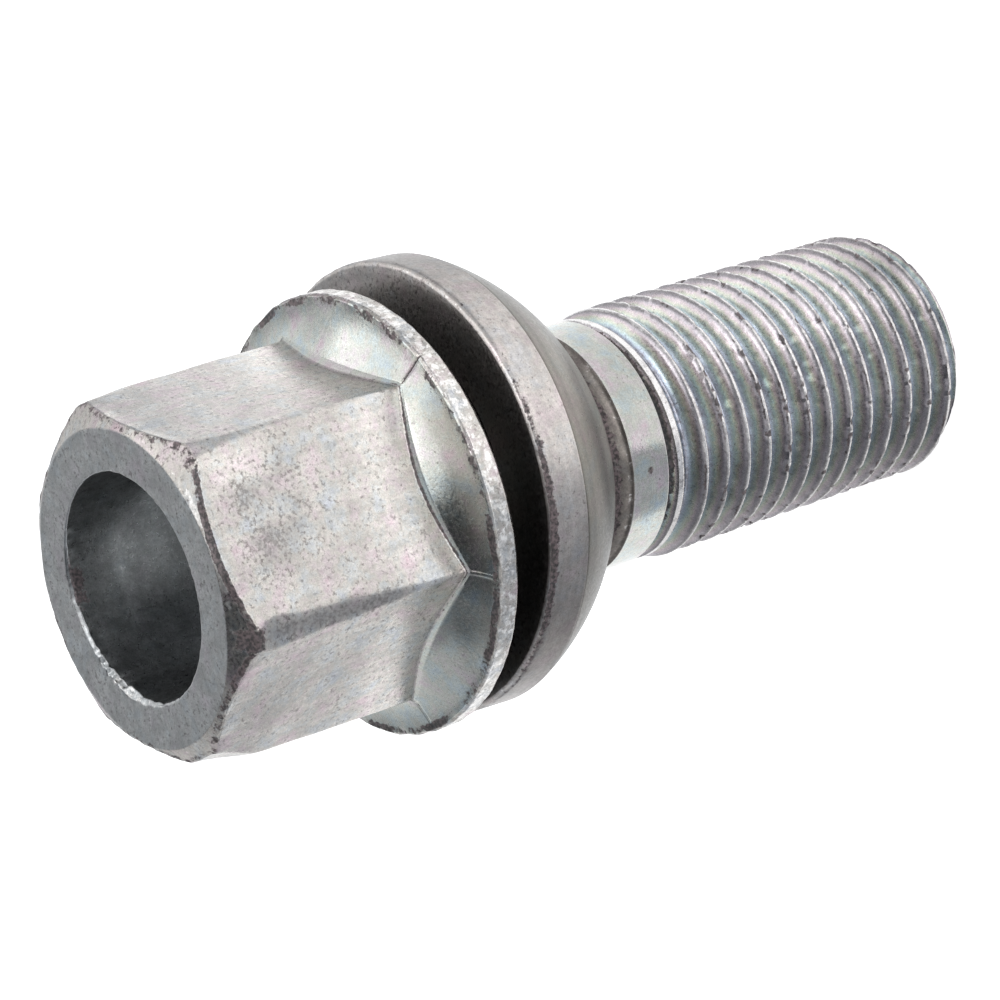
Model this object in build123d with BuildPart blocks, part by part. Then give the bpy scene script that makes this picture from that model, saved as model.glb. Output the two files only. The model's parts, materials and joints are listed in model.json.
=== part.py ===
from build123d import *
import os
from math import cos, radians, sin, sqrt, tan

# Wheel bolt with a loose ball-seat washer, standing on its thread end.
# The bolt's axis is Z and the head is up. The origin is the middle of the thread's end face.
# All sizes are in millimetres, and all angles are in degrees.

# Driving dimensions of the shank, from the thread's end upwards
thread_diameter = 14.0
thread_length = 21.0
thread_end_chamfer = 0.9
runout_diameter = 12.2
runout_width = 0.9
land_diameter = 13.5
land_length = 2.4
neck_diameter = 12.7
neck_length = 5.47

# Driving dimensions of the head
head_height = 15.2
flange_diameter = 23.4
flange_rim_height = 1.4
flange_edge_chamfer = 0.3
dish_rim_slope = 8.0
dish_rise = 1.9
hex_sides = 6
hex_across_flats = 17.0
hex_edge_radius = 0.4
head_chamfer_angle = 30.0
head_face_diameter = 16.2
recess_diameter = 11.8
recess_depth = 9.0
recess_floor_angle = 120.0

# Driving dimensions of the washer
washer_diameter = 24.0
washer_rim_height = 2.4
washer_edge_chamfer = 0.3
ball_overhang = 1.0
washer_end_diameter = 15.6
washer_bore_clearance = 0.6
washer_bore_length = 2.0

# The cone under the flange pilots the washer's mouth
pilot_angle = 30.0
pilot_clearance = 0.5

# Where the loose washer lies: the gap under the flange, its lean, and its play to one side
washer_gap = 1.6
washer_lean = 2.7
washer_lean_direction = -43.0
washer_shift = 0.35
washer_shift_direction = -14.0

# How far hidden ends run into the solid that carries them
overlap = 0.5

# Radii
thread_radius = thread_diameter / 2
neck_radius = neck_diameter / 2
flange_radius = flange_diameter / 2
recess_radius = recess_diameter / 2
head_face_radius = head_face_diameter / 2
flat_radius = hex_across_flats / 2
corner_radius = flat_radius / cos(radians(180 / hex_sides))

# The washer's section, measured down its own axis from the ball's centre
washer_radius = washer_diameter / 2
ball_radius = washer_radius + ball_overhang
washer_end_radius = washer_end_diameter / 2
washer_bore_radius = neck_radius + washer_bore_clearance
ball_start = sqrt(ball_radius**2 - washer_radius**2)
ball_end = sqrt(ball_radius**2 - washer_end_radius**2)
washer_front = ball_start - washer_rim_height
washer_bore_top = ball_end - washer_bore_length
pilot_slope = tan(radians(pilot_angle / 2))
washer_mouth_radius = washer_bore_radius + (washer_bore_top - washer_front) * pilot_slope

# Heights along the bolt
pilot_radius = washer_mouth_radius - pilot_clearance
pilot_height = (pilot_radius - neck_radius) / pilot_slope
land_bottom = thread_length + runout_width
neck_bottom = land_bottom + land_length
pilot_bottom = neck_bottom + neck_length
flange_bottom = pilot_bottom + pilot_height
rim_top = flange_bottom + flange_rim_height
head_face = flange_bottom + head_height

# The dish sweeps from the rim into the hexagon, where its inner end is hidden
dish_outer_radius = flange_radius - flange_edge_chamfer
dish_inner_radius = flat_radius - overlap
dish_direction = (-cos(radians(dish_rim_slope)), sin(radians(dish_rim_slope)))

# Bolt: a forged head on a turned shank, whose thread stands as its outer cylinder
with BuildPart() as bolt:
    with BuildSketch(Plane.XZ):
        with BuildLine():
            Polyline(
                (0, 0),
                (thread_radius - thread_end_chamfer, 0),
                (thread_radius, thread_end_chamfer),
                (thread_radius, thread_length - (thread_diameter - runout_diameter) / 2),
                (runout_diameter / 2, thread_length),
                (runout_diameter / 2, land_bottom),
                (land_diameter / 2, land_bottom),
                (land_diameter / 2, neck_bottom),
                (neck_radius, neck_bottom),
                (neck_radius, pilot_bottom),
                (pilot_radius, flange_bottom),
                (flange_radius - flange_edge_chamfer, flange_bottom),
                (flange_radius, flange_bottom + flange_edge_chamfer),
                (flange_radius, rim_top - flange_edge_chamfer),
                (dish_outer_radius, rim_top),
            )
            dish = TangentArc(
                (dish_outer_radius, rim_top),
                (dish_inner_radius, rim_top + dish_rise),
                tangent=dish_direction,
            )
            Polyline(dish @ 1, (0, rim_top + dish_rise), (0, 0))
        make_face()
    revolve(axis=Axis.Z)

    # Hexagon, which the dish cuts off in a curved crease on each flat
    with BuildSketch(Plane.XY.offset(rim_top - overlap)):
        RegularPolygon(radius=flat_radius, side_count=hex_sides, major_radius=False)
        fillet(vertices(), radius=hex_edge_radius)
    extrude(amount=head_face - rim_top + overlap)

    # Cone that takes the corners off the head's face
    chamfer_reach = corner_radius + overlap
    chamfer_drop = (chamfer_reach - head_face_radius) * tan(radians(head_chamfer_angle))
    with BuildSketch(Plane.XZ):
        with BuildLine():
            Polyline(
                (head_face_radius, head_face),
                (chamfer_reach, head_face),
                (chamfer_reach, head_face - chamfer_drop),
                close=True,
            )
        make_face()
    revolve(axis=Axis.Z, mode=Mode.SUBTRACT)

    # Blind round recess in the face, with a conical floor
    recess_floor_drop = recess_radius / tan(radians(recess_floor_angle / 2))
    with BuildSketch(Plane.XZ):
        with BuildLine():
            Polyline(
                (0, head_face),
                (recess_radius, head_face),
                (recess_radius, head_face - recess_depth),
                (0, head_face - recess_depth - recess_floor_drop),
                close=True,
            )
        make_face()
    revolve(axis=Axis.Z, mode=Mode.SUBTRACT)

# The washer leans on the neck about the middle of its bore
lean = radians(washer_lean)
lean_direction = radians(washer_lean_direction)
shift_direction = radians(washer_shift_direction)
washer_axis = Vector(sin(lean) * cos(lean_direction), sin(lean) * sin(lean_direction), cos(lean))
bore_middle = (ball_end + washer_bore_top) / 2
bore_centre = Vector(
    washer_shift * cos(shift_direction),
    washer_shift * sin(shift_direction),
    flange_bottom - washer_gap - (bore_middle - washer_front),
)
ball_centre = bore_centre + washer_axis * bore_middle
washer_plane = Plane(origin=ball_centre, z_dir=washer_axis)
washer_section_plane = Plane(origin=ball_centre, x_dir=washer_plane.x_dir, z_dir=-washer_plane.y_dir)

# Washer: a turned ring with a ball seat outside and the pilot's cone inside
with BuildPart() as washer:
    with BuildSketch(washer_section_plane):
        with BuildLine():
            rim = Polyline(
                (washer_mouth_radius, -washer_front),
                (washer_radius - washer_edge_chamfer, -washer_front),
                (washer_radius, -washer_front - washer_edge_chamfer),
                (washer_radius, -ball_start),
            )
            seat = RadiusArc(rim @ 1, (washer_end_radius, -ball_end), ball_radius)
            Polyline(
                seat @ 1,
                (washer_bore_radius, -ball_end),
                (washer_bore_radius, -washer_bore_top),
                rim @ 0,
            )
        make_face()
    revolve(axis=Axis(ball_centre, washer_axis))

os.makedirs("parts", exist_ok=True)
bolt.part.label = "bolt"
export_step(bolt.part, "parts/bolt.step")
washer.part.label = "ball_seat_washer"
export_step(washer.part, "parts/ball_seat_washer.step")
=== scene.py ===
# %% [markdown]
# A worn wheel bolt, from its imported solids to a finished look.
# The solids give the size and the place of each piece. This lesson adds what the solids leave out: the rolled
# thread, the worn hexagon, the ragged edges, and the zinc plating with its stains and rust.
# Sizes are in millimetres and angles in degrees until a mesh is made, because Blender works in metres.

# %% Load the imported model
import json
import bpy
import numpy as np
from mathutils import Matrix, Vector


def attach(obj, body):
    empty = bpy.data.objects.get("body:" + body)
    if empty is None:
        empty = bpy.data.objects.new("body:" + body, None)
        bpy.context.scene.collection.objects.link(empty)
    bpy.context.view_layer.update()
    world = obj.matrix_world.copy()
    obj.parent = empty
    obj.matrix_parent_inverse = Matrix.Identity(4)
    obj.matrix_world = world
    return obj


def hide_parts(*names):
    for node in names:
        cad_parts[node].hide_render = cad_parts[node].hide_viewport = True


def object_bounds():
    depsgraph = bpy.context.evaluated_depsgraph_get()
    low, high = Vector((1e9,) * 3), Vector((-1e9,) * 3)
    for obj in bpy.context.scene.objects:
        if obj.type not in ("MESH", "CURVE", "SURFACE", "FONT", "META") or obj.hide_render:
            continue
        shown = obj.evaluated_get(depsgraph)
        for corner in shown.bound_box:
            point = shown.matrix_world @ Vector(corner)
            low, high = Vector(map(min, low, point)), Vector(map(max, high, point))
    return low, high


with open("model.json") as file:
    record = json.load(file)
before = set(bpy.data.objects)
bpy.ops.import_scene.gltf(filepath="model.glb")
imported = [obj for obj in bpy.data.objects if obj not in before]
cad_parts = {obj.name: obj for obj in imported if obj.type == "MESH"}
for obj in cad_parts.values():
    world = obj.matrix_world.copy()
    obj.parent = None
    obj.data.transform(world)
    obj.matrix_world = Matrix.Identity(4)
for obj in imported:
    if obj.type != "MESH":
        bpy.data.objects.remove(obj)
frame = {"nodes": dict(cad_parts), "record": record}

cad_low, cad_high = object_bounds()
MM = 0.001
print("solids:", sorted(frame["nodes"]), "height in mm:", round(cad_high.z / MM, 2))

# %% [markdown]
# Each piece is a grid: rows that follow its section, and columns that go round its axis. Blender's Screw
# modifier could spin one profile, but a hexagon that runs into a round dish has another section at each
# angle. So the rows are worked out with numpy, as arrays of radius and height with one value for each
# column. The columns stand closer together at the corners of the hexagon, where the worn facets and the
# thin flash lines are. Corners lie at every 60 degrees, beginning with +X, and the flats lie between
# them.

# %% Columns round the axis
COLUMNS_PER_CORNER = 52
EVEN, CROWDED = 0.45, 0.55
step = np.linspace(-1, 1, COLUMNS_PER_CORNER, endpoint=False)
from_corner = 30 * (EVEN * step + CROWDED * step**3)
angle = ((np.arange(6) * 60)[:, None] + from_corner[None, :]).ravel()
angle = np.sort(angle % 360)
turn = np.radians(angle)
columns = len(angle)
# Nought for each column: added to a number, it spreads that number round the axis
level = np.zeros(columns)
off_corner = (angle + 30) % 60 - 30
corner_number = np.round(angle / 60).astype(int) % 6
print("columns:", columns, "widest step in degrees:", round(float(np.diff(angle).max()), 2))

# %% [markdown]
# Wear fades out along a piece and has ragged borders, so two helpers come first: a soft step and a smooth
# noise. Blender's noise textures could push the points with a Displace modifier. A sum of waves in numpy
# was chosen, because it gives the same points every time and can be weighted for each row and column.

# %% Soft steps and noise
def smooth(value, low, high):
    """A step from 0 at low to 1 at high, with soft ends."""
    t = np.clip((value - low) / (high - low), 0, 1)
    return t * t * (3 - 2 * t)


def ripple(points, wavelength, seed, waves=14):
    """Smooth noise from about -1 to 1: a sum of plane waves in random directions, about a wavelength long."""
    random = np.random.default_rng(seed)
    ways = random.normal(size=(waves, 3))
    length = np.linalg.norm(ways, axis=1)[:, None]
    ways *= (2 * np.pi / wavelength) * random.uniform(0.6, 1.5, (waves, 1)) / length
    return np.sin(points @ ways.T + random.uniform(0, 2 * np.pi, waves)).sum(-1) / np.sqrt(waves / 2) / 2


sample = ripple(np.stack([angle, level, level], -1), 40.0, 1)
print("noise runs from", sample.min().round(2), "to", sample.max().round(2))

# %% [markdown]
# The hexagon was forged, and wrenches have worn its corners: each corner has a narrow facet that is
# widest at the front and dies out at the dish. A bevel modifier gives one width along the whole edge, so
# the facet is written into the radius: the nearer of the flat and of a plane across the corner, with a
# soft minimum between.

# %% Hexagon
HEAD_FACE = cad_high.z / MM
FLAT = 8.5
CORNER = FLAT / np.cos(np.radians(30))
FORGED_FACET = 0.10
FACET_BLEND = 0.025
WEAR_LENGTH = 13.0
TIP_LENGTH = 4.0
# Width that wear added to each corner's facet, from +X on: along the edge, and more at the tip
WEAR = np.array([0.45, 0.15, 0.15, 0.45, 1.25, 0.24])
WEAR_AT_TIP = np.array([0.70, 1.20, 1.20, 2.00, 0.0, 0.60])


def hexagon(height):
    """Radius of the worn hexagon at each column's own height: a soft minimum of flat and facet."""
    front = smooth(height, HEAD_FACE - WEAR_LENGTH, HEAD_FACE - 1.0)
    tip = smooth(height, HEAD_FACE - TIP_LENGTH, HEAD_FACE - 0.5)
    ragged = 1 + 0.30 * ripple(np.stack([9 * corner_number, 0 * height, height], -1), 2.2, 5)
    width = FORGED_FACET + WEAR[corner_number] * ragged * front + WEAR_AT_TIP[corner_number] * tip
    facet = (CORNER - width / 2 / np.tan(np.radians(60))) / np.cos(np.radians(off_corner))
    flat = FLAT / np.cos(np.radians(30 - np.abs(off_corner)))
    nearer = np.exp(-(flat - FLAT) / FACET_BLEND) + np.exp(-(facet - FLAT) / FACET_BLEND)
    return FLAT - FACET_BLEND * np.log(nearer)


print("corner radius at the face:", round(float(hexagon(HEAD_FACE + level).max()), 3))

# %% [markdown]
# Between the hexagon and the flange the forging die left a dish: an arc carried round the axis, which
# leaves the rim at 8 degrees and climbs 1.9 mm. A boolean of two meshes could cut the hexagon with it.
# Solving for the height where both meet was chosen instead, because then one row runs exactly along the
# curved crease.

# %% Dish
FLANGE_BACK = HEAD_FACE - 15.2
RIM_TOP = FLANGE_BACK + 1.4
FLANGE = 11.7
EDGE_CHAMFER = 0.3
RIM_EDGE = FLANGE - EDGE_CHAMFER
DISH_INNER = 8.0
DISH_RISE = 1.9
leave = np.radians(8)
run = RIM_EDGE - DISH_INNER
DISH_RADIUS = (run**2 + DISH_RISE**2) / 2 / (DISH_RISE * np.cos(leave) - run * np.sin(leave))
DISH_R = RIM_EDGE + DISH_RADIUS * np.sin(leave)
DISH_Z = RIM_TOP + DISH_RADIUS * np.cos(leave)


def dish(radius):
    """Height of the dish at a radius: the lower half of a circle about DISH_R and DISH_Z."""
    return DISH_Z - np.sqrt(DISH_RADIUS**2 - (DISH_R - radius) ** 2)


crease_r = hexagon(dish(hexagon(RIM_TOP + 1 + level)))
crease_z = dish(crease_r)
print("crease height in mm, from corner to flat:", crease_z.min().round(2), crease_z.max().round(2))

# %% [markdown]
# The thread is a rolled M14 with a pitch of 1.5, right-hand. A profile swept along a helix could make it,
# but its two ends would have to be cut. Here the rows themselves run along the helix, so each crest is a
# clean line: row by row the section goes from root to flank to crest, and at the seam a row joins the one
# a turn above it. Rows that pass the land or the end face are held there, and a weld closes them later.
# The first crest below the land is lower and wider, as where the rolling dies run out.

# %% Thread
PITCH = 1.5
THREAD_TURNS = 16
TOP_ROW = 22.275
LAND_BOTTOM = 21.9
ROOT_R = 6.1
RUNOUT_R = 6.70
RUNOUT_DROP = 0.3
RUNOUT_END, RUNOUT_START = 20.5, 19.6
# One pitch of the section: the place along it, the radius, and the share of the flank climbed
SECTION_U = np.array([0.0, 0.083, 0.167, 0.285, 0.403, 0.515, 0.583, 0.652])
SECTION_R = np.array([6.10, 6.06, 6.10, 6.40, 6.71, 6.97, 7.0, 6.97])
SECTION_FLANK = np.array([0.0, 0.03, 0.10, 0.38, 0.66, 0.92, 1.0, 0.93])


def thread_limit(height):
    """Largest radius at a height: low by the land, full in the middle, and chamfered at the end."""
    by_land = RUNOUT_R + RUNOUT_DROP * smooth(-height, -RUNOUT_END, -RUNOUT_START)
    return np.minimum(by_land, ROOT_R + np.maximum(height, 0))


def at_height(height, section):
    """What the thread's section gives at a height, for each column: read at its place along the pitch."""
    u = (TOP_ROW + PITCH * angle / 360 - height) / PITCH % 1
    return np.interp(u, np.append(SECTION_U, 1), np.append(section, section[0]))


place = (np.arange(THREAD_TURNS)[:, None] + SECTION_U[None, :]).ravel()
thread_z = TOP_ROW - PITCH * place[:, None] + PITCH * angle[None, :] / 360
thread_r = np.repeat(np.tile(SECTION_R, THREAD_TURNS)[:, None], columns, 1)
flank = np.repeat(np.tile(SECTION_FLANK, THREAD_TURNS)[:, None], columns, 1)
flank = np.where(thread_r > thread_limit(thread_z), 1.0, flank)
thread_r = np.minimum(thread_r, thread_limit(thread_z))
past_land = thread_z >= LAND_BOTTOM
past_end = thread_z <= 0
thread_z = np.clip(thread_z, 0, LAND_BOTTOM)
for held, height in ((past_land, LAND_BOTTOM), (past_end, 0.0)):
    thread_r = np.where(held, np.minimum(at_height(height, SECTION_R), thread_limit(height)), thread_r)
    flank = np.where(held, at_height(height, SECTION_FLANK), flank)
print("thread rows:", len(place), "turns:", LAND_BOTTOM / PITCH)

# %% [markdown]
# The rest of the section is a line of stations from the pole of the recess, over the face and down to the
# land. A real edge is never quite sharp, so each station has a small rounding that catches the light. The
# mouth of the recess is worn back on one side, and the face is wider there. Stations with names were
# chosen over a drawn curve, because the stretches between them carry the rows and the finish, and later
# the wear.

# %% Stations of the section
def bell(angle, middle, width):
    """1 at the middle angle, falling softly to 0 about one width away on each side; all in degrees."""
    away = (angle - middle + 180) % 360 - 180
    return np.exp(-((away / width) ** 2) * 2)


RECESS, FACE, FORGED, DISH, UNDER, NECK, TURNED, ROLLED = range(8)
RECESS_R = 5.9
RECESS_FLOOR = 42.2
RECESS_POLE = 38.74
FACE_R = 8.1
CHAMFER_DEPTH = 0.6
CHAMFER_SLOPE = np.tan(np.radians(30))
RIM = 11.58
RIM_WEAR = 0.18
PILOT_R = 8.0
NECK_R = 6.35
NECK_TOP = 29.77
STEP_TOP = 25.0
STEP_EDGE_R, STEP_EDGE = 6.60, 24.42
LAND_R = 6.75
LAND_TOP = 24.28
worn_mouth = 0.05 + 0.24 * bell(angle, 138, 46) + 0.14 * bell(angle, 75, 30)
face_r = FACE_R + 0.3 * bell(angle, 115, 95)
chamfer_r = hexagon(HEAD_FACE - CHAMFER_DEPTH + level)
chamfer_z = HEAD_FACE - (chamfer_r - face_r) * CHAMFER_SLOPE
stations = [
    # name, radius, height, rounding, rows to the next station, finish of that stretch
    ("pole", 0.0, RECESS_POLE, 0.0, 5, RECESS),
    ("floor", RECESS_R, RECESS_FLOOR, 0.3, 18, RECESS),
    ("mouth_in", RECESS_R, HEAD_FACE - worn_mouth, 0.05, 3, RECESS),
    ("mouth", RECESS_R + worn_mouth, HEAD_FACE, 0.05, 7, FACE),
    ("face_edge", face_r, HEAD_FACE, 0.06, 6, FORGED),
    ("flat_edge", chamfer_r, chamfer_z, 0.10, 22, FORGED),
    ("crease", crease_r, crease_z, 0.16, 18, DISH),
    ("rim", RIM, dish(RIM), 0.05, 2, FORGED),
    ("rim_out", FLANGE, RIM_TOP - RIM_WEAR, 0.06, 7, FORGED),
    ("back_out", FLANGE, FLANGE_BACK + EDGE_CHAMFER, 0.08, 2, FORGED),
    ("back", RIM_EDGE, FLANGE_BACK, 0.08, 3, UNDER),
    ("pilot", PILOT_R, FLANGE_BACK, 0.10, 4, UNDER),
    ("neck", NECK_R, NECK_TOP, 0.30, 8, NECK),
    ("step", NECK_R, STEP_TOP, 0.10, 3, NECK),
    ("step_out", STEP_EDGE_R, STEP_EDGE, 0.06, 2, NECK),
    ("land", LAND_R, LAND_TOP, 0.05, 8, TURNED),
    ("land_end", LAND_R, LAND_BOTTOM, 0.06, 2, TURNED),
    ("thread_top", thread_r[0], LAND_BOTTOM, 0.0, 0, ROLLED),
]
print("stations:", len(stations), "worn mouth in mm:", worn_mouth.min().round(2), worn_mouth.max().round(2))

# %% [markdown]
# Now the stations become rows. A bevel modifier would round all edges alike and add its points at each
# corner of the mesh. Here each station gets five rows, two of them held close by, so that its rounding
# keeps its own width. On the dish and on the flats the rows are then put on the true surface.

# %% Rows along the section
def section_rows(stations):
    """Rows along the section: straight between stations, with a rounding at each, held by a row close by."""
    at = np.array([[radius + level, height + level] for _, radius, height, *_ in stations])
    roundings = [station[3] for station in stations]
    rows, station_row, finish = [], [], []
    for k, (_, _, _, rounding, count, look) in enumerate(stations):
        back = at[k - 1] - at[k] if k else 0 * at[k]
        ahead = at[k + 1] - at[k] if k + 1 < len(at) else 0 * at[k]
        back_length = np.maximum(np.hypot(*back), 1e-9)
        ahead_length = np.maximum(np.hypot(*ahead), 1e-9)
        before = at[k] + back * np.minimum(rounding / back_length, 0.4)
        after = at[k] + ahead * np.minimum(rounding / ahead_length, 0.4)
        if rounding:
            rows.extend([before + 0.08 * (before - at[k]), before])
            finish.extend([stations[k - 1][5]] * 2)
        station_row.append(len(rows))
        rows.append(0.25 * before + 0.5 * at[k] + 0.25 * after)
        if rounding:
            rows.extend([after, after + 0.08 * (after - at[k])])
        if count:
            end = at[k + 1] - ahead * np.minimum(roundings[k + 1] / ahead_length, 0.4)
            share = np.linspace(0, 1, count + 1)[1:-1]
            rows.extend(after + s * (end - after) for s in share)
        finish.extend([look] * (len(rows) - len(finish)))
    row_of = {station[0]: row for station, row in zip(stations, station_row)}
    return np.array(rows), row_of, np.array(finish)


rows, row_of, row_finish = section_rows(stations)
head_r, head_z = rows[:, 0], rows[:, 1]
on_dish = slice(row_of["crease"] + 2, row_of["rim"] - 1)
head_z[on_dish] = dish(head_r[on_dish])
on_flat = slice(row_of["flat_edge"] + 2, row_of["crease"] - 1)
head_r[on_flat] = np.array([hexagon(z) for z in head_z[on_flat]])
print("section rows:", len(head_r))

# %% [markdown]
# Knocks and rust keep to the edges, so each point needs its distance from each edge. Blender has an edge
# factor in its Geometry node, called pointiness, but it follows the mesh and not the millimetres. The
# length along the section is measured instead: less than 0 before an edge, and more than 0 after it.

# %% Distances from the edges
steps = np.hypot(np.diff(head_r, axis=0), np.diff(head_z, axis=0))
along = np.vstack([level, np.cumsum(steps, axis=0)])
edge = {name: along - along[row] for name, row in row_of.items()}
flat_length = (edge["flat_edge"] - edge["crease"])[0][np.argmin(crease_r)]
print("flat length at its middle in mm:", flat_length.round(2))

# %% [markdown]
# A forged and knocked-about surface isn't true. A low swell runs over the flats and the dish, the edges
# are chipped, the mouth of the recess has a ragged burr on one side, and thin flash lines run down the
# dish from the corners, where the forging dies met. Sculpting by hand could give all this, but couldn't
# be repeated, so the section is pushed along its own normal by smooth noise. What would stand past the
# solid's face or rim is cut back.

# %% Worn head
def in_space(r, z):
    """Points from radius and height: each column is turned to its angle about the bolt's axis."""
    return np.stack([r * np.cos(turn), r * np.sin(turn), z], -1)


def pushed(r, z, amount):
    """The section moved along its normal by amount, both for each row and column."""
    dr, dz = np.gradient(r, axis=0), np.gradient(z, axis=0)
    length = np.maximum(np.hypot(dr, dz), 1e-9)
    return r - dz / length * amount, z + dr / length * amount


def between(value, low, high, soft=0.1):
    """1 from low to high, with ends that fall to 0 over a soft width."""
    return smooth(value, low - soft, low + soft) * smooth(-value, -high - soft, -high + soft)


def near(name, width):
    """1 on an edge and 0 beyond a width from it."""
    return smooth(-np.abs(edge[name]), -width, 0)


FLASH_WIDTH = 0.08
where = in_space(head_r, head_z)
forged = smooth(edge["face_edge"], -0.2, 0.3) * smooth(-edge["rim"], -1.8, -0.5)
swell = 0.030 * forged * ripple(where, 4.0, 1)
chips = 0.035 * ripple(where, 0.9, 2) * (near("flat_edge", 0.5) + between(edge["rim"], -0.2, 1.2, 0.2))
neck_edges = 0.03 * ripple(where, 1.1, 4) * (near("neck", 0.5) + near("step", 0.5))
burr_side = 0.25 + bell(angle, 135, 40)
burr = 0.10 * ripple(where, 0.6, 3) * between(edge["mouth"], -0.6, 0.05, 0.15) * burr_side
ridge = np.exp(-((np.radians(off_corner) * head_r / FLASH_WIDTH) ** 2))
flash_height = 0.05 * bell(angle, 240, 20) - 0.06 * bell(angle, 300, 20) - 0.05 * bell(angle, 180, 20)
flash = ridge * flash_height * between(edge["crease"], 0.15, 2.2, 0.2)
amount = swell + chips + neck_edges + burr + flash
head_r, head_z = pushed(head_r, head_z, amount)
head_r, head_z = np.minimum(head_r, FLANGE), np.minimum(head_z, HEAD_FACE)
print("largest push in mm:", np.abs(amount).max().round(3))

# %% [markdown]
# Crests are nicked, as on any bolt that has lain in a box with others. A nick is a place on the crest
# where the noise is high. A boolean could take small cutters out of the mesh, but lowering the points
# keeps the grid whole and still gives real dents, not only dark spots. The run-out by the land stays
# whole.

# %% Nicked thread
NICK_DEPTH = 0.09
NICKS_END, NICKS_FULL = 18.8, 18.0
on_crest = smooth(flank, 0.85, 0.95)
nick = on_crest * smooth(ripple(in_space(thread_r, thread_z), 0.9, 6), 0.25, 0.8)
nick *= smooth(-thread_z, -NICKS_END, -NICKS_FULL)
thread_r = thread_r - NICK_DEPTH * nick * (~past_land & ~past_end)
print("nicked share of the thread's points:", (nick > 0.5).mean().round(3))

# %% [markdown]
# Wear and painted light have their places, so five maps are kept on the points: rust, bare bright metal,
# soot-grey grime, painted light and shade, and the place on the thread's flank. The bare metal map also
# paints one highlight, and the grime map some shade. They could be painted by hand as vertex colours. Here
# each map is a list of stretches along an edge, with a strength that changes round the axis. The shader
# breaks their borders up with fine noise, so the maps can stay coarse. Rust comes first.
# It sits on the front edges, at two knocked tips, in the crease, on the rim and on the neck.

# %% Rust
def stretches(places):
    """One layer for each place: its strength, within a stretch between two distances from an edge."""
    return np.array([
        strength * between(edge[name], low, high, soft) for strength, name, low, high, soft in places
    ])


SPOT_ANGLE, SPOT_DROP = 245.4, 1.10
front_right = bell(angle, 270, 34)
front_edge = 0.48 + 0.35 * front_right + 0.15 * bell(angle, 228, 22)
rim_patches = 0.58 + 0.34 * ripple(where, 3.0, 8)
flash_rust = 0.8 * ridge * (bell(angle, 300, 20) + 0.6 * bell(angle, 180, 20))
rust = stretches([
    # strength, edge, from, to, softness of both ends
    (front_edge, "flat_edge", -0.40, 0.06, 0.10),  # front edge of every flat
    (1.0 * bell(angle, 239, 7), "flat_edge", -1.3, 0.5, 0.4),  # knocked tip of the widest facet
    (0.6 * bell(angle, 298, 6), "flat_edge", -0.7, 0.1, 0.2),  # knocked tip next to it
    (0.36 * bell(angle, 305, 22), "flat_edge", -1.3, 0.0, 0.2),  # chamfer beside that tip
    (1.25 * bell(angle, 268, 52), "crease", -0.10, 0.10, 0.06),  # crease of the bright flat
    (rim_patches, "rim", -0.42, 0.08, 0.12),  # outer edge of the dish
    (flash_rust, "crease", 0.15, 2.2, 0.2),  # flash lines
    (0.72, "neck", 1.0, 5.0, 0.3),  # neck
    (0.95 * bell(angle, 76, 22), "mouth_in", -0.55, 0.10, 0.10),  # far lip of the recess
    (bell(angle, SPOT_ANGLE, 3.5), "land", SPOT_DROP - 0.2, SPOT_DROP + 0.2, 0.2),  # one pit
]).max(0)
print("rust reaches", rust.max().round(2), "and covers", (rust > 0.5).mean().round(3), "of the head's points")

# %% [markdown]
# Where things rub, the zinc is gone and the steel shines: along the chamfer's edge, on the rim, at the
# burr of the mouth and at the neck's step. The same map paints a highlight along the crease of the lower
# flat. Soot-grey grime lies as a smudge on the front of one flat and on the widest facet. Where two
# stretches meet, the stronger one counts, as a stain doesn't get darker than itself.

# %% Bare metal, soot and a painted highlight
smudge = 0.75 + 0.45 * ripple(where, 3.0, 12)
bare_and_highlight = stretches([
    (0.58 * (0.35 + front_right), "face_edge", 0.02, 0.45, 0.08),  # top of the chamfer
    (0.46, "rim_out", -0.15, 0.9, 0.15),  # rim
    (0.50 * bell(angle, 138, 55), "mouth", -0.50, 0.10, 0.10),  # burr of the mouth
    (0.30, "step", 0.45, 0.85, 0.08),  # step of the neck
    # Painted highlight along the crease of the lower flat
    (0.6 * bell(angle, 215, 14), "crease", -0.02, 0.14, 0.05),  # crease of the lower flat
]).max(0)
soot_and_shade = stretches([
    (0.86 * smudge * bell(angle, 276, 24), "flat_edge", 1.4, 5.6, 1.4),  # front of the bright flat
    (0.75 * bell(angle, 240, 4.2), "flat_edge", 0.5, 9.0, 1.0),  # widest facet
]).max(0)
print("bare metal reaches", bare_and_highlight.max().round(2), "and soot", soot_and_shade.max().round(2))

# %% [markdown]
# This map paints light and shade into the plating's colour, so it has both signs: more than 0 darkens the
# plating as painted shade and less than 0 brightens it as painted light. A second, darker material could
# show it, but a factor on the colour keeps one plating with one grain. Its stretches add up.

# %% Painted light and shade on the zinc
on_side = smooth(-edge["crease"], 0.0, 0.12)
# Painted light and shade on the dish: darker at 308 degrees and most at 250, lighter at 290
dish_light_and_shade = 0.12 * bell(angle, 308, 12) - 0.16 * bell(angle, 290, 9) + 0.42 * bell(angle, 250, 12)
inside_rim = smooth(-edge["rim"], -0.1, 0.3)
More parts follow.
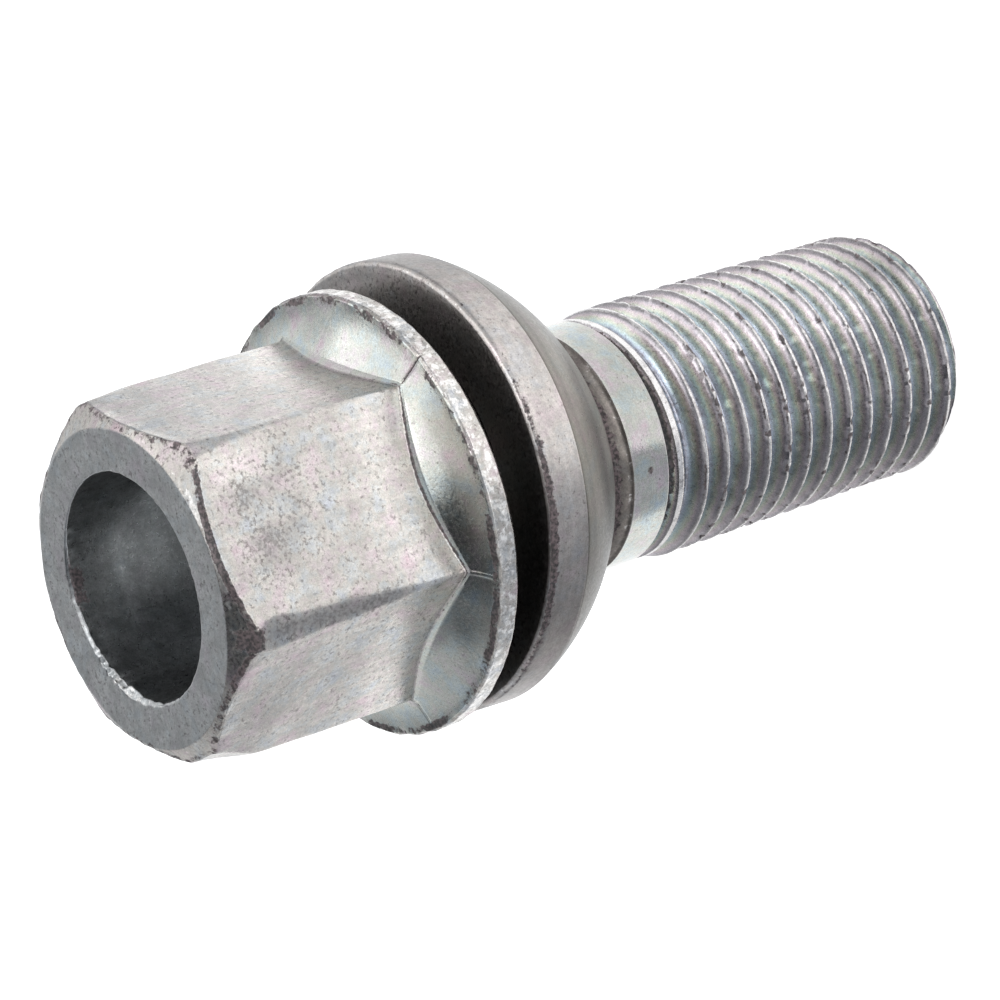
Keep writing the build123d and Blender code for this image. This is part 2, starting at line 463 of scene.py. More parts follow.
# Painted shade on the land, the rim and the lower flat; painted light beside the crease, on one front corner
# and as a crescent on the recess wall
painted_light_and_shade = stretches([
    (0.30 * bell(angle, 295, 64), "land", 0.0, 2.4, 0.1),  # land
    (0.30 * bell(angle, 350, 50), "rim_out", -0.2, 1.1, 0.1),  # rim
    (-0.24 * on_side, "crease", -3.4, -0.12, 1.2),  # flats by the crease
    (0.17 * bell(angle, 210, 24), "flat_edge", 0.5, 8.0, 1.0),  # lower flat
    (-0.30 * bell(angle, 293, 7), "flat_edge", 0.2, 4.0, 0.8),  # one front corner
    (dish_light_and_shade * inside_rim, "crease", 0.15, 3.0, 0.2),  # dish
    (-0.70 * bell(angle, 78, 34), "mouth_in", -3.2, -2.7, 0.4),  # wall of the recess
]).sum(0)
print("dull from", painted_light_and_shade.min().round(2), "to", painted_light_and_shade.max().round(2))

# %% [markdown]
# On the thread, rust begins just below the crests, in patches, fills the nicks, and lines the groove
# under the land. Painted shade darkens the plating on two sides of the thread, one of them only near the
# end. A distance from each crest would have to follow the helix, so the share of the flank says how near
# the crest a point is.

# %% Wear and painted shade of the thread
patches = 0.20 + 0.28 * ripple(in_space(thread_r, thread_z), 2.5, 9) + 0.24 * bell(angle, 250, 55)
below_crest = between(flank, 0.74, 0.97, 0.06)
groove = smooth(thread_z, 21.05, 21.5) * smooth(-flank, -0.9, -0.7)
thread_rust = np.max([patches * below_crest, 0.85 * nick, 0.9 * groove], axis=0)
# Painted shade on two sides of the thread, one of them only near its end
thread_painted_shade = 0.38 * bell(angle, 305, 45) * smooth(-thread_z, -6.5, -3.0) + 0.32 * bell(angle, 207, 30)
print("thread rust reaches", thread_rust.max().round(2), "and painted_shade", thread_painted_shade.max().round(2))

# %% [markdown]
# A grid becomes a mesh by joining each point with its neighbours in four-sided faces. Where rows close to
# a point or to a line, as at the poles and at the thread's ends, points lie on each other. Blender's
# Merge by Distance could clean that up, but it would mix the maps, so the weld is done in numpy before
# the mesh is made.

# %% From grid to mesh
def grid_faces(rows, columns, first=0):
    """Quads between neighbouring rows and columns of a grid that closes on itself round the axis."""
    r, c = np.meshgrid(np.arange(rows - 1), np.arange(columns), indexing="ij")
    here, right = r * columns + c, r * columns + (c + 1) % columns
    return first + np.stack([here, here + columns, right + columns, right], -1).reshape(-1, 4)


def weld(points, quads, finish, values):
    """Points at one place become one; a quad that lost a side becomes a triangle, and an empty one goes."""
    _, keep, new = np.unique(np.round(points, 5), axis=0, return_index=True, return_inverse=True)
    quads = new.reshape(-1)[quads]
    same = quads == np.roll(quads, -1, axis=1)
    crossed = (quads[:, 0] == quads[:, 2]) | (quads[:, 1] == quads[:, 3])
    whole = (same.sum(1) == 0) & ~crossed
    closing = (same.sum(1) == 1) & ~crossed
    order = (np.argmax(same[closing], 1)[:, None] + np.array([1, 2, 3])) % 4
    triangles = np.take_along_axis(quads[closing], order, 1)
    faces = quads[whole].tolist() + triangles.tolist()
    finish = np.concatenate([finish[whole], finish[closing]])
    return points[keep], faces, finish, {name: value[keep] for name, value in values.items()}


def build_piece(name, points, faces, finish, values):
    """A mesh object at the origin, its points in metres, with a float attribute for each entry of values."""
    mesh = bpy.data.meshes.new(name)
    mesh.from_pydata(points * MM, [], faces)
    for key, value in values.items():
        mesh.attributes.new(key, "FLOAT", "POINT").data.foreach_set("value", value.astype(np.float32))
    mesh.shade_smooth()
    mesh.polygons.foreach_set("material_index", finish.astype(np.int32))
    piece = bpy.data.objects.new(name, mesh)
    bpy.context.scene.collection.objects.link(piece)
    print(name, "points", len(points), "triangles", sum(len(face) - 2 for face in faces))
    return piece


print("a grid of 3 rows and 4 columns has", len(grid_faces(3, 4)), "faces")

# %% [markdown]
# The bolt is one forging, so head, thread and end face become one closed mesh. The head and the end face
# are plain grids. The thread's grid climbs one pitch in a turn, so at its seam each row joins the row
# that lies a turn above.

# %% Faces of the bolt
end_r = thread_r[-1][None, :] * np.linspace(1, 0, 4)[1:, None]
head_count, thread_count, end_count = len(head_r), len(thread_r), len(end_r)
head_faces = grid_faces(head_count, columns)
end_faces = grid_faces(end_count + 1, columns, (head_count + thread_count - 1) * columns)
helix = grid_faces(thread_count, columns, head_count * columns)
row = (helix[:, 0] // columns) - head_count
seam = helix[:, 0] % columns == columns - 1
above = np.maximum(row - len(SECTION_U), 0) + head_count
above_next = np.maximum(row + 1 - len(SECTION_U), 0) + head_count
helix[seam, 3] = above[seam] * columns
helix[seam, 2] = above_next[seam] * columns
print("faces of the head, the thread and the end:", len(head_faces), len(helix), len(end_faces))

# %% [markdown]
# Each map becomes a float attribute of the mesh, which a shader reads by its name and which follows the
# surface wherever the piece goes. A painted picture on a UV map could carry them too, but it would have
# to be unwrapped and painted by hand, and the points are dense enough. Edges over 50 degrees stay sharp,
# so the step of the land isn't shaded as a curve.

# %% Bolt mesh
all_r = np.vstack([head_r, thread_r, end_r])
all_z = np.vstack([head_z, thread_z, 0 * end_r])
finish = np.concatenate([
    row_finish[head_faces[:, 0] // columns],
    np.full(len(helix) + len(end_faces), ROLLED),
])
none_below = 0 * np.vstack([thread_r, end_r])
values = {
    "along": np.vstack([along * MM, none_below]).ravel(),
    "rust": np.vstack([rust, thread_rust, 0 * end_r]).ravel(),
    "bare_and_highlight": np.vstack([bare_and_highlight, none_below]).ravel(),
    "soot_and_shade": np.vstack([soot_and_shade, none_below]).ravel(),
    "painted_light_and_shade": np.vstack([painted_light_and_shade, thread_painted_shade, 0 * end_r]).ravel(),
    "flank": np.vstack([0 * head_r, flank, 0 * end_r + 0.5]).ravel(),
}
bolt_points = in_space(all_r, all_z).reshape(-1, 3)
bolt_faces = np.vstack([head_faces, helix, end_faces])
bolt = build_piece("bolt_worn", *weld(bolt_points, bolt_faces, finish, values))
bolt.data.set_sharp_from_angle(angle=np.radians(50))

# %% [markdown]
# The washer is a turned ring: a ball seat outside, a cone and a bore inside. It lies loose on the neck
# and leans a little. A lean as an object's rotation would be lost in the export, so the ring is carried
# round its own axis, which is the axis of its joint. Radii are from that axis, and drops go down along it
# from the ball's centre. Its front edge is nicked like the flange.

# %% Shape of the washer
spin = frame["record"]["behaviour"]["joints"][0]
WASHER_UP = np.array(spin["axis"])
BALL_CENTRE = np.array(spin["pos_m"]) / MM
BALL_RADIUS = 13.0
WASHER_R = 12.0
MOUTH_R = 8.504
BORE_R = 6.95
FRONT_DROP = 2.6
BORE_DROP = 8.4
END_DROP = 10.4
WASHER_COLUMNS = 300
ball_drop = np.linspace(5.0, END_DROP, 30)
worn_edge = [[11.78, 2.61], [11.86, 2.65], [11.93, 2.70], [11.98, 2.77], [WASHER_R, 2.86]]
small_end = [[7.74, END_DROP], [7.01, END_DROP], [BORE_R, 10.34], [BORE_R, BORE_DROP]]
washer_section = np.vstack([
    np.column_stack([np.linspace(MOUTH_R, 11.72, 9), np.full(9, FRONT_DROP)]),
    worn_edge,
    np.column_stack([np.full(7, WASHER_R), np.linspace(3.0, 4.9, 7)]),
    np.column_stack([np.sqrt(BALL_RADIUS**2 - ball_drop**2), ball_drop]),
    small_end,
    np.column_stack([np.linspace(BORE_R, MOUTH_R, 8)[1:-1], np.linspace(BORE_DROP, FRONT_DROP, 8)[1:-1]]),
])
side = np.cross([0.0, 1.0, 0.0], WASHER_UP)
side /= np.linalg.norm(side)
washer_turn = np.linspace(0, 2 * np.pi, WASHER_COLUMNS, endpoint=False)
around = np.outer(np.cos(washer_turn), side) + np.outer(np.sin(washer_turn), np.cross(WASHER_UP, side))
washer_r = washer_section[:, 0][:, None] + 0 * washer_turn
washer_drop = washer_section[:, 1][:, None] + 0 * washer_turn
washer_points = BALL_CENTRE + washer_r[..., None] * around - washer_drop[..., None] * WASHER_UP
front_edge_only = between(washer_drop, 2.62, 2.9, 0.1) * smooth(washer_r, 11.6, 11.8)
washer_nick = 0.03 * front_edge_only * (1 + ripple(washer_points, 0.8, 11))
washer_points -= washer_nick[..., None] * around
print("washer rows:", len(washer_section), "deepest nick in mm:", washer_nick.max().round(3))

# %% [markdown]
# The washer carries the same maps as the bolt, so that one shader serves both. Its front edge rusts most
# on the side that shows. Painted shade darkens the ring and the seat on two sides each, and the front face,
# which lies in the flange's shadow and where the grime map adds more painted shade. It has no thread, so
# the flank is 0.

# %% Washer mesh
RING, SEAT = range(2)
SEAT_DROP = 4.95
washer_angle = np.degrees(washer_turn)
section_step = np.hypot(*np.diff(washer_section, axis=0).T)
washer_along = np.concatenate([[0], np.cumsum(section_step)])[:, None] + 0 * washer_turn
outside = smooth(washer_r, 11.0, 11.5)
on_front = smooth(-washer_drop, -2.7, -2.6)
on_ring = smooth(washer_drop, 2.7, 2.9)
on_seat = smooth(washer_drop, 4.8, 5.2)
edge_rust = 0.32 + 0.62 * bell(washer_angle, 240, 45)
# Painted shade: the ring is darker on two sides, and so is the seat
ring_painted_shade = 0.70 * bell(washer_angle, 348, 66) + 0.70 * bell(washer_angle, 207, 58)
seat_painted_shade = 0.26 * bell(washer_angle, 312, 30) + 0.26 * bell(washer_angle, 238, 24)
washer_painted_shade = ring_painted_shade * on_ring * (1 - 0.2 * on_seat) + seat_painted_shade * on_seat
# Painted shadow of the flange on the washer's front face
washer_painted_shade += 0.6 * bell(washer_angle, 240, 50) * on_front
washer_values = {
    "along": (washer_along * MM).ravel(),
    "rust": (outside * edge_rust * between(washer_drop, 2.66, 3.02, 0.08)).ravel(),
    "bare_and_highlight": (0.36 * outside * between(washer_drop, 2.60, 2.72, 0.04)).ravel(),
    # Grime map on the front face: painted shade where the flange shadows it
    "soot_and_shade": (0.40 * on_front).ravel(),
    "painted_light_and_shade": washer_painted_shade.ravel(),
    "flank": (0 * washer_drop).ravel(),
}
washer_rows = len(washer_section)
ring = grid_faces(washer_rows + 1, WASHER_COLUMNS) % (washer_rows * WASHER_COLUMNS)
ring_finish = np.where(washer_drop.ravel()[ring[:, 0]] > SEAT_DROP, SEAT, RING)
washer = build_piece(
    "ball_seat_washer_worn", washer_points.reshape(-1, 3), ring.tolist(), ring_finish, washer_values
)
washer.data.set_sharp_from_angle(angle=np.radians(40))

# %% [markdown]
# Colours are written as sRGB hex, as an image program gives them, and turned to the linear values that
# the shader works with. A node tree could be clicked together and appended from a file. Written as code,
# each node is one line that says what feeds it, and a pattern's scale follows from a size in millimetres.

# %% Colours and nodes
def linear(code):
    """sRGB hex to linear RGBA."""
    s = np.array([int(code[i:i + 2], 16) for i in (1, 3, 5)]) / 255
    return (*np.where(s <= 0.04045, s / 12.92, ((s + 0.055) / 1.055) ** 2.4), 1.0)


def add(tree, kind, inputs=(), stops=(), **settings):
    """A node with its settings; each input is a value, a socket, or a node read at its first output in use."""
    made = tree.nodes.new("ShaderNode" + kind)
    for key, value in settings.items():
        setattr(made, key, value)
    for key, value in dict(inputs).items():
        if isinstance(value, bpy.types.Node):
            value = next(socket for socket in value.outputs if socket.enabled)
        if isinstance(value, bpy.types.NodeSocket):
            tree.links.new(value, made.inputs[key])
        else:
            made.inputs[key].default_value = value
    for number, (position, code) in enumerate(stops):
        elements = made.color_ramp.elements
        element = elements[number] if number < 2 else elements.new(position)
        element.position = position
        element.color = linear(code)
    return made


def per(size):
    """Pattern scale for a feature of that size in mm."""
    return 1 / (size * MM)


print("mid grey #808080 is", round(float(linear("#808080")[0]), 3), "in linear light")

# %% [markdown]
# The steel is zinc-plated and passivated: a satin grey metal whose thin clear film shows faint pink,
# green and blue, as oil does on water. A thin-film shader could work these colours out, but the film is
# uneven, so its tint is a colour ramp over a noise. On the thread the rolled flanks show it as bands from
# root to crest, and these bands also paint shade at the root and below each crest, and highlights on the
# middle of the flank and on the crest.

# %% The zinc and its film
FACTOR, FIRST, SECOND = 0, 6, 7
COLOUR = {"data_type": "RGBA"}
MULTIPLIED = {"data_type": "RGBA", "blend_type": "MULTIPLY"}
SCALED = {"operation": "MULTIPLY_ADD"}
# In a ramp the first and the last stop come first, and then those between them
FILM = [(0.28, "#E2C4CE"), (0.72, "#BACFDC"), (0.40, "#DCD3D2"), (0.50, "#D6D8C8"), (0.60, "#CCDAD6")]
# Root to crest: film tints, with painted shade at the root and below the crest, painted highlights mid-flank
# and on the crest
FILM_AND_SHADE_BANDS = [
    (0.00, "#6E6872"), (0.99, "#E6E2E0"), (0.07, "#A9ABBC"), (0.18, "#C0D0E4"), (0.34, "#C6DEDC"),
    (0.50, "#DDE1C9"), (0.64, "#E0CDD1"), (0.77, "#C1B7BE"), (0.88, "#948C8E"), (0.94, "#B9B3B1"),
]


def film_tone(tree, noise, colour, film, bands):
    """The zinc's colour under its film, whose tint drifts with the noise or follows the flank, with light and
    shade painted in.
    """
    drift = noise["drift"]
    if bands:
        flank = add(tree, "Attribute", attribute_name="flank")
        sway = add(tree, "Math", {0: drift, 1: 0.24, 2: -0.12}, **SCALED)
        ragged = add(tree, "Math", {0: noise["break_up"], 1: 0.40, 2: -0.20}, **SCALED)
        sway = add(tree, "Math", {0: sway, 1: ragged}, operation="ADD")
        drift = add(tree, "Math", {0: flank.outputs["Fac"], 1: sway}, operation="ADD")
    tint = add(tree, "ValToRGB", {"Fac": drift}, stops=bands or FILM)
    tone = add(tree, "Mix", {FACTOR: film, FIRST: linear(colour), SECOND: tint}, **COLOUR)
    light_and_shade_map = add(tree, "Attribute", attribute_name="painted_light_and_shade")
    left = add(tree, "Math", {0: 1.0, 1: light_and_shade_map.outputs["Fac"]}, operation="SUBTRACT")
    return add(tree, "Mix", {FACTOR: 1.0, FIRST: tone, SECOND: left}, **MULTIPLIED)


print("colours in the film:", len(FILM), "bands on a flank:", len(FILM_AND_SHADE_BANDS))

# %% [markdown]
# Tools leave lines: die marks run lengthwise on a forging, and turning lines run round a lathe-cut face.
# A noise that is drawn out along the bolt gives the first. For the second, a one-way noise reads the
# length along the section, so its lines go round the piece whatever its shape. Dust and acid left fine
# dark specks. Round spots from a cell pattern look printed, so the specks are the soft peaks of a noise,
# thicker where the clouds and the grime are, and on the washer's front face, where that map is painted shade.

# %% Tool marks and specks
SPECK = "#625B59"
SPECK_SIZE = 0.22
DIE_MARK = 0.30


def tool_marks(tree, spot, turned):
    """Turning lines of that spacing in mm, or lengthwise die marks where there is no turning."""
    if turned:
        reach = add(tree, "Attribute", attribute_name="along")
        inputs = {"W": reach.outputs["Fac"], "Scale": per(turned), "Detail": 3.0}
        return add(tree, "TexNoise", inputs, noise_dimensions="1D")
    drawn = add(tree, "Mapping", {"Vector": spot, "Scale": (1.0, 1.0, 0.10)})
    return add(tree, "TexNoise", {"Vector": drawn, "Scale": per(DIE_MARK), "Detail": 3.0})


def specks(tree, spot, noise, cut):
    """How much of a speck each place has: a turned fine noise plus clouds and the grime and shade map, over a
    cut.
    """
    askew = add(tree, "Mapping", {"Vector": spot, "Rotation": (0.6, 0.8, 0.4)})
    inputs = {"Vector": askew, "Scale": per(SPECK_SIZE), "Detail": 3.0, "Roughness": 0.65}
    fleck = add(tree, "TexNoise", inputs)
    peaks = add(tree, "Math", {0: noise["cloud"], 1: 0.30, 2: fleck}, **SCALED)
    grime_and_shade = add(tree, "Attribute", attribute_name="soot_and_shade")
    peaks = add(tree, "Math", {0: grime_and_shade.outputs["Fac"], 1: 0.17, 2: peaks}, **SCALED)
    return add(tree, "MapRange", {0: peaks, 1: cut, 2: cut + 0.16, 3: 0.0, 4: 0.70})


print("a speck of", SPECK_SIZE, "mm has a noise scale of", round(per(SPECK_SIZE)))

# %% [markdown]
# Stains lie on top: grime, then bare steel, then rust, each with two tones. The grime also darkens the
# washer's front face as painted shade, and the bare steel paints a highlight into one crease. A mask with a
# clean border looks painted on, so each map is added to a noise and cut near a half, and its border comes
# out ragged.
# Rust is no metal, so it also takes the mirror from the surface.

# %% Stains
STAIN_CUT = 0.52
RUST_METALLIC = 0.45
STAINS = [
    # map, dark and pale tone, softness of the border, share, roughness
    # Grime, and painted shade on the washer's front face
    ("soot_and_shade", "#848180", "#A3A09E", 0.34, 0.62, 0.42),
    # Bare steel, and a painted highlight in the lower flat's crease
    ("bare_and_highlight", "#D8D5D2", "#FFFDFA", 0.12, 0.80, 0.34),
    ("rust", "#2A2426", "#746567", 0.12, 0.88, 0.60),
]


def stained(tree, noise, tone, roughness):
    """Tone, roughness and metallic with the stains on: map plus noise, softly cut, mixes each one in."""
    inputs = {0: noise["fine"], 1: 0.3, 2: 0.7, 3: roughness - 0.05, 4: roughness + 0.05}
    rough = add(tree, "MapRange", inputs)
    shift = add(tree, "Math", {0: noise["break_up"], 1: 1.5, 2: -0.75}, **SCALED)
    blotch = add(tree, "MapRange", {0: noise["fine"], 1: 0.38, 2: 0.66, 3: 0.0, 4: 1.0})
    for key, dark, pale, soft, share, coarse in STAINS:
        mapped = add(tree, "Attribute", attribute_name=key)
        torn = add(tree, "Math", {0: shift, 1: mapped.outputs["Fac"]}, operation="ADD")
        inputs = {0: torn, 1: STAIN_CUT - soft, 2: STAIN_CUT + soft, 3: 0.0, 4: share}
        cover = add(tree, "MapRange", inputs, interpolation_type="SMOOTHSTEP")
        patch = add(tree, "Mix", {FACTOR: blotch, FIRST: linear(dark), SECOND: linear(pale)}, **COLOUR)
        tone = add(tree, "Mix", {FACTOR: cover, FIRST: tone, SECOND: patch}, **COLOUR)
        rough = add(tree, "Mix", {FACTOR: cover, 2: rough, 3: coarse})
    metallic = add(tree, "MapRange", {0: cover, 1: 0.0, 2: 1.0, 3: 1.0, 4: RUST_METALLIC})
    return tone, rough, metallic


print("stains, from the lowest:", [stain[0] for stain in STAINS])

# %% [markdown]
# All finishes share one recipe: film, mottling, tool marks, specks and stains on satin metal, with a fine
# tooth as bump. They differ in film, specks, roughness and tool marks. A photograph as a
# texture would bring its own light with it, so the patterns are procedural and sit in the piece's own
# space. Zinc's crystals are far finer than a pixel, so the grain is drawn coarser than it is.

# %% Plated steel
GRIT = 0.2
TOOTH_DEPTH = 0.02
GRAIN_DEPTH = 0.12
PATTERNS = {
    # size in mm, detail, roughness of the detail
    "cloud": (1.1, 5.0, 0.65),
    "drift": (1.4, 4.0, 0.65),
    "break_up": (0.40, 3.0, 0.7),
    "fine": (0.17, 1.0, 0.5),
    "grain": (0.08, 0.0, 0.5),
}


def plated(name, colour, film, cut, mottle, streak, roughness, turned=0.0, bands=None):
    """Satin metal, tinted by its film, mottled, streaked, specked, and stained where the maps say."""
    material = bpy.data.materials.new(name)
    material.use_nodes = True
    tree = material.node_tree
    shader = tree.nodes["Principled BSDF"]
    spot = add(tree, "TexCoord").outputs["Object"]
    noise = {}
    for key, (size, detail, coarse) in PATTERNS.items():
        inputs = {"Vector": spot, "Scale": per(size), "Detail": detail, "Roughness": coarse}
        noise[key] = add(tree, "TexNoise", inputs)
    marks = tool_marks(tree, spot, turned)
    tone = film_tone(tree, noise, colour, film, bands)
    layers = [
        (noise["cloud"], mottle),
        (noise["break_up"], 0.6 * mottle),
        (marks, streak),
        (noise["grain"], GRAIN_DEPTH),
    ]
    for pattern, depth in layers:
        shade = add(tree, "MapRange", {0: pattern, 1: 0.35, 2: 0.65, 3: 1 - depth, 4: 1 + 0.25 * depth})
        tone = add(tree, "Mix", {FACTOR: 1.0, FIRST: tone, SECOND: shade}, **MULTIPLIED)
    speck = specks(tree, spot, noise, cut)
    tone = add(tree, "Mix", {FACTOR: speck, FIRST: tone, SECOND: linear(SPECK)}, **COLOUR)
    tone, rough, metallic = stained(tree, noise, tone, roughness)

    # A fine tooth, with the specks as pits
    tooth = add(tree, "Math", {0: noise["fine"], 1: speck}, operation="SUBTRACT")
    tooth = add(tree, "Math", {0: marks, 1: streak, 2: tooth}, **SCALED)
    bump = add(tree, "Bump", {"Strength": GRIT, "Distance": TOOTH_DEPTH * MM, "Height": tooth})
    tree.links.new(tone.outputs[2], shader.inputs["Base Color"])
    tree.links.new(rough.outputs[0], shader.inputs["Roughness"])
    tree.links.new(metallic.outputs[0], shader.inputs["Metallic"])
    tree.links.new(bump.outputs[0], shader.inputs["Normal"])
    return material


print("patterns in mm:", {key: size for key, (size, _, _) in PATTERNS.items()})

# %% [markdown]
# One bath plated the whole bolt, but each surface under the zinc was made in its own way, and that is
# what the eye tells apart: forged, sheared, turned or rolled. One material with masks could do it all. A
# material for each surface was chosen, because its name then says how that surface was made.

# %% Finishes of the bolt
bolt_finishes = [
    # Zinc hardly reaches into the recess: even, grey and almost without colours
    plated("zinc_thin_in_a_recess", "#C8CACC",
           film=0.10, cut=0.77, mottle=0.25, streak=0.10, roughness=0.32),
    # Sheared metal is matt, and takes the most specks
    plated("zinc_on_a_sheared_face", "#D0D0D1",
           film=0.20, cut=0.70, mottle=0.24, streak=0.0, roughness=0.36),
    # A forging is a little warm, with lengthwise marks and many specks
    plated("zinc_on_a_forging", "#C1B6B7",
           film=0.42, cut=0.705, mottle=0.16, streak=0.10, roughness=0.30),
    # The dish was pressed smooth, so it mirrors its surroundings and shows the film best
    plated("zinc_on_a_forged_dish", "#D8D8DA",
           film=0.60, cut=0.77, mottle=0.10, streak=0.0, roughness=0.24),
    # The back of the flange is coloured almost black: mostly painted shade of the narrow gap over the washer,
    # with some dark grime
    plated("zinc_painted_dark_as_shade_under_a_flange", "#1C1A19",
           film=0.10, cut=0.74, mottle=0.30, streak=0.0, roughness=0.45),
    # The washer has rubbed the neck, and rust has come through
    plated("zinc_on_a_rusty_neck", "#8F8681",
           film=0.10, cut=0.74, mottle=0.40, streak=0.2, roughness=0.45, turned=0.3),
    # The land was turned fine, so it is the most mirror-like of all
    plated("zinc_on_a_turned_land", "#B2B1B5",
           film=0.55, cut=0.76, mottle=0.12, streak=0.06, roughness=0.18, turned=0.12),
    # Rolling pressed the flanks smooth, and the film lies on them in bands, which also paint shade and
    # highlights
    plated("zinc_on_a_rolled_thread", "#D3D3D6",
           film=0.68, cut=0.75, mottle=0.15, streak=0.0, roughness=0.28, bands=FILM_AND_SHADE_BANDS),
]
for material in bolt_finishes:
    bolt.data.materials.append(material)
print("finishes of the bolt:", [material.name for material in bolt_finishes])

# %% [markdown]
# The washer was turned on a lathe. Its ring is satin and faintly pink, with turning lines half a
# millimetre apart. Its ball seat has rubbed in the wheel, so the film is gone there and wide, soft
# grooves show.

# %% Finishes of the washer
washer_finishes = [
    # Satin, with fine lines round it
    plated("zinc_on_a_turned_ring", "#D5CAC9",
           film=0.30, cut=0.725, mottle=0.18, streak=0.10, roughness=0.34, turned=0.5),
    # Darker and browner, with wide bands round it
    plated("zinc_on_a_ball_seat", "#7E776F",
           film=0.15, cut=0.77, mottle=0.12, streak=0.34, roughness=0.32, turned=1.6),
]
for material in washer_finishes:
    washer.data.materials.append(material)
print("finishes of the washer:", [material.name for material in washer_finishes])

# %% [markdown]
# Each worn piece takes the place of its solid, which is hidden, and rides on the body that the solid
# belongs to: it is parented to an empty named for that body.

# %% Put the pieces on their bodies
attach(bolt, "bolt")
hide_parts("bolt")
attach(washer, "washer")
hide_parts("ball_seat_washer")
print("worn pieces on bodies:", bolt.name, washer.name)

# %% [markdown]
# The camera stands where the photograph was taken from, and is rolled, so the standing bolt lies across
# the picture. A Track To constraint could aim it, but can't roll it, so its three axes are given. Its
# lens follows from the focal length in pixels of a picture that is 1000 pixels wide.

# %% Camera
def placed(x, y, z, place):
    """The matrix of an object whose own axes point along x, y and z, at a place in metres."""
    return Matrix(np.vstack([np.column_stack([x, y, z, place]), [0, 0, 0, 1]]).tolist())


SENSOR = 36
FOCAL_PIXELS = 3806.1
PICTURE_PIXELS = 1000
RIGHT = np.array([-0.34365, -0.52871, -0.77612])
UP = np.array([0.93756, -0.24047, -0.25130])
AHEAD = np.array([0.05377, 0.81403, -0.57834])
CAMERA_PLACE = [-0.012207, -0.162810, 0.144134]
camera = bpy.data.objects.new("camera", bpy.data.cameras.new("camera"))
camera.data.sensor_width = SENSOR
camera.data.lens = FOCAL_PIXELS / PICTURE_PIXELS * SENSOR
camera.data.clip_start = 0.005
camera.matrix_world = placed(RIGHT, UP, -AHEAD, CAMERA_PLACE)
bpy.context.scene.collection.objects.link(camera)
bpy.context.scene.camera = camera
print("lens in mm:", round(camera.data.lens, 1))

# %% [markdown]
# Metal shows what stands round it. The bolt stands on a sheet of white paper, which fills the picture and
# shines in the flats that face the camera. The paper lies on a grey bench, which darkens the flats and
# corners that look past it. More light could make the paper white, but it would bleach the bolt too. So
# the paper glows a little, only for rays from the camera and from mirrors, and still takes the bolt's
# shadow.

# %% Paper and bench
GLOW = 0.75
BENCH_HEIGHT = -0.3


def card(name, outline, height, colour):
    """A flat card at a height in mm, shown at its full colour to camera and mirror rays; it takes shadows."""
    mesh = bpy.data.meshes.new(name)
    mesh.from_pydata([(x * MM, y * MM, height * MM) for x, y in outline], [], [tuple(range(len(outline)))])
    piece = bpy.data.objects.new(name, mesh)
    bpy.context.scene.collection.objects.link(piece)
    material = bpy.data.materials.new(name)
    material.use_nodes = True
    tree = material.node_tree
    tree.nodes.remove(tree.nodes["Principled BSDF"])
    path = add(tree, "LightPath")
    inputs = {0: path.outputs["Is Camera Ray"], 1: path.outputs["Is Glossy Ray"]}
    seen = add(tree, "Math", inputs, operation="MAXIMUM")
    seen = add(tree, "Math", {0: seen, 1: path.outputs["Is Transmission Ray"]}, operation="MAXIMUM")
    glow = add(tree, "Emission", {"Color": linear(colour), "Strength": GLOW})
    matt = add(tree, "BsdfDiffuse", {"Color": linear(colour)})
    both = add(tree, "AddShader", {0: glow, 1: matt})
    shown = add(tree, "MixShader", {0: seen, 1: matt, 2: both})
    tree.links.new(shown.outputs[0], tree.nodes["Material Output"].inputs["Surface"])
    mesh.materials.append(material)
    print(name, "corners", len(outline))


# The paper ends on the -X side, so that the lower flat and its corner mirror the bench
BENCH = [(-600, -600), (600, -600), (600, 600), (-600, 600)]
PAPER = [(-8, -420), (76, -420), (76, 170), (-78, 170), (-78, 14), (-14, -14)]
card("grey_bench", BENCH, BENCH_HEIGHT, "#AEB1B6")
card("white_paper", PAPER, 0.0, "#FFFFFF")

# %% [markdown]
# Six soft panels light the bolt, as in a product photographer's tent. A large one hangs overhead on the
# +X side, which is up in the picture, with a small bright one in front of it. A long low strip in front
# lights the flat that faces it. A weak one by the camera lifts the lower flat, and two weak ones behind
# are there for the far edges. One point lamp would give hard, small glints, and metal wants large lights
# to mirror. Lamps are set by radiance, because that is what a mirrored lamp adds to a surface.

# %% Panels
BOLT_MIDDLE = np.array([0, 0, 0.03])


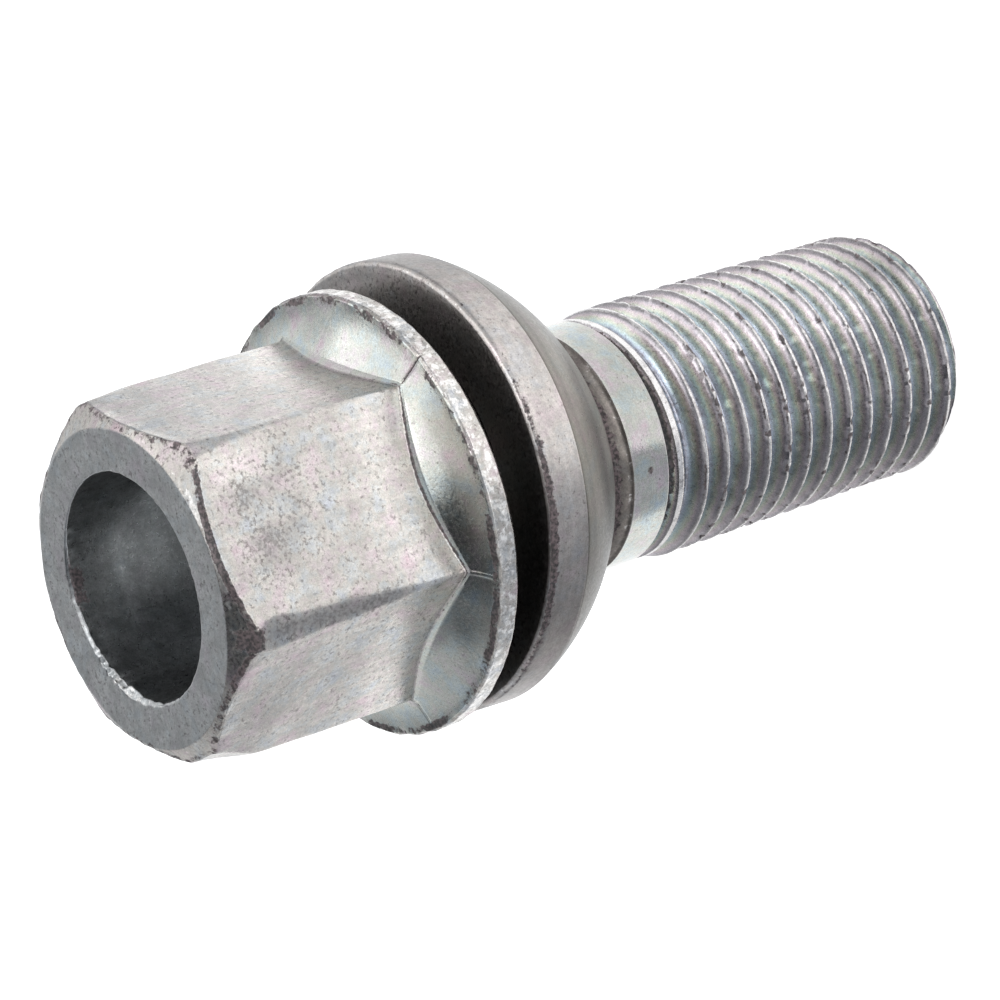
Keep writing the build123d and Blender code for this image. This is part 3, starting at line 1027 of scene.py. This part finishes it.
def panel(name, direction, distance, width, height, radiance):
    """A lamp that faces the bolt's middle from a direction; its power follows from its size and radiance."""
    lamp = bpy.data.lights.new(name, "AREA")
    lamp.shape = "RECTANGLE"
    lamp.size, lamp.size_y = width, height
    lamp.energy = 4 * width * height * radiance
    holder = bpy.data.objects.new(name, lamp)
    way = np.array(direction, float) / np.linalg.norm(direction)
    x = np.cross([0, 0, 1], way)
    x /= np.linalg.norm(x)
    holder.matrix_world = placed(x, np.cross(way, x), way, way * distance + BOLT_MIDDLE)
    bpy.context.scene.collection.objects.link(holder)
    print(name, "watts", round(lamp.energy, 4))


# Direction from the bolt, then distance, width and height in metres, then radiance
panel("top_panel", (0.52, -0.08, 0.85), 0.30, 0.50, 0.33, 0.98)
panel("back_panel", (-0.55, 0.68, 0.49), 0.40, 0.24, 0.30, 0.19)
panel("camera_panel", (-0.5, -0.7, 0.6), 0.35, 0.20, 0.20, 0.36)
panel("side_panel", (0.57, 0.66, 0.48), 0.40, 0.16, 0.20, 0.20)
panel("front_panel", (0.42, -0.42, 0.80), 0.35, 0.14, 0.14, 1.1)
panel("front_strip", (0.10, -1.0, 0.05), 0.50, 0.60, 0.14, 1.3)

# %% [markdown]
# The room fills in the rest. It is bright at the horizon and darker overhead, as in a tent that is open
# at the top, so upright faces stay pale while the recess and the face of the head go grey. A sky texture
# or a picture of a studio could stand here, but a ramp over the height of a ray is plain and easy to
# shift.

# %% Room
ROOM = [
    (0.00, "#F2F3F4"), (1.00, "#34383C"), (0.22, "#E4E6E8"), (0.40, "#B8BBBF"),
    (0.48, "#989CA0"), (0.60, "#94989E"), (0.72, "#8A8E94"), (0.85, "#5E6268"),
]
world = bpy.data.worlds.new("studio")
world.use_nodes = True
tree = world.node_tree
toward = add(tree, "SeparateXYZ", {0: add(tree, "TexCoord").outputs["Generated"]})
lean = add(tree, "Math", {0: toward.outputs["X"], 1: -0.08, 2: toward.outputs["Z"]}, **SCALED)
room = add(tree, "ValToRGB", {"Fac": lean}, stops=ROOM)
tree.links.new(room.outputs["Color"], tree.nodes["Background"].inputs["Color"])
bpy.context.scene.world = world
bpy.context.scene.view_settings.view_transform = "Standard"
print("tones in the room:", len(ROOM))
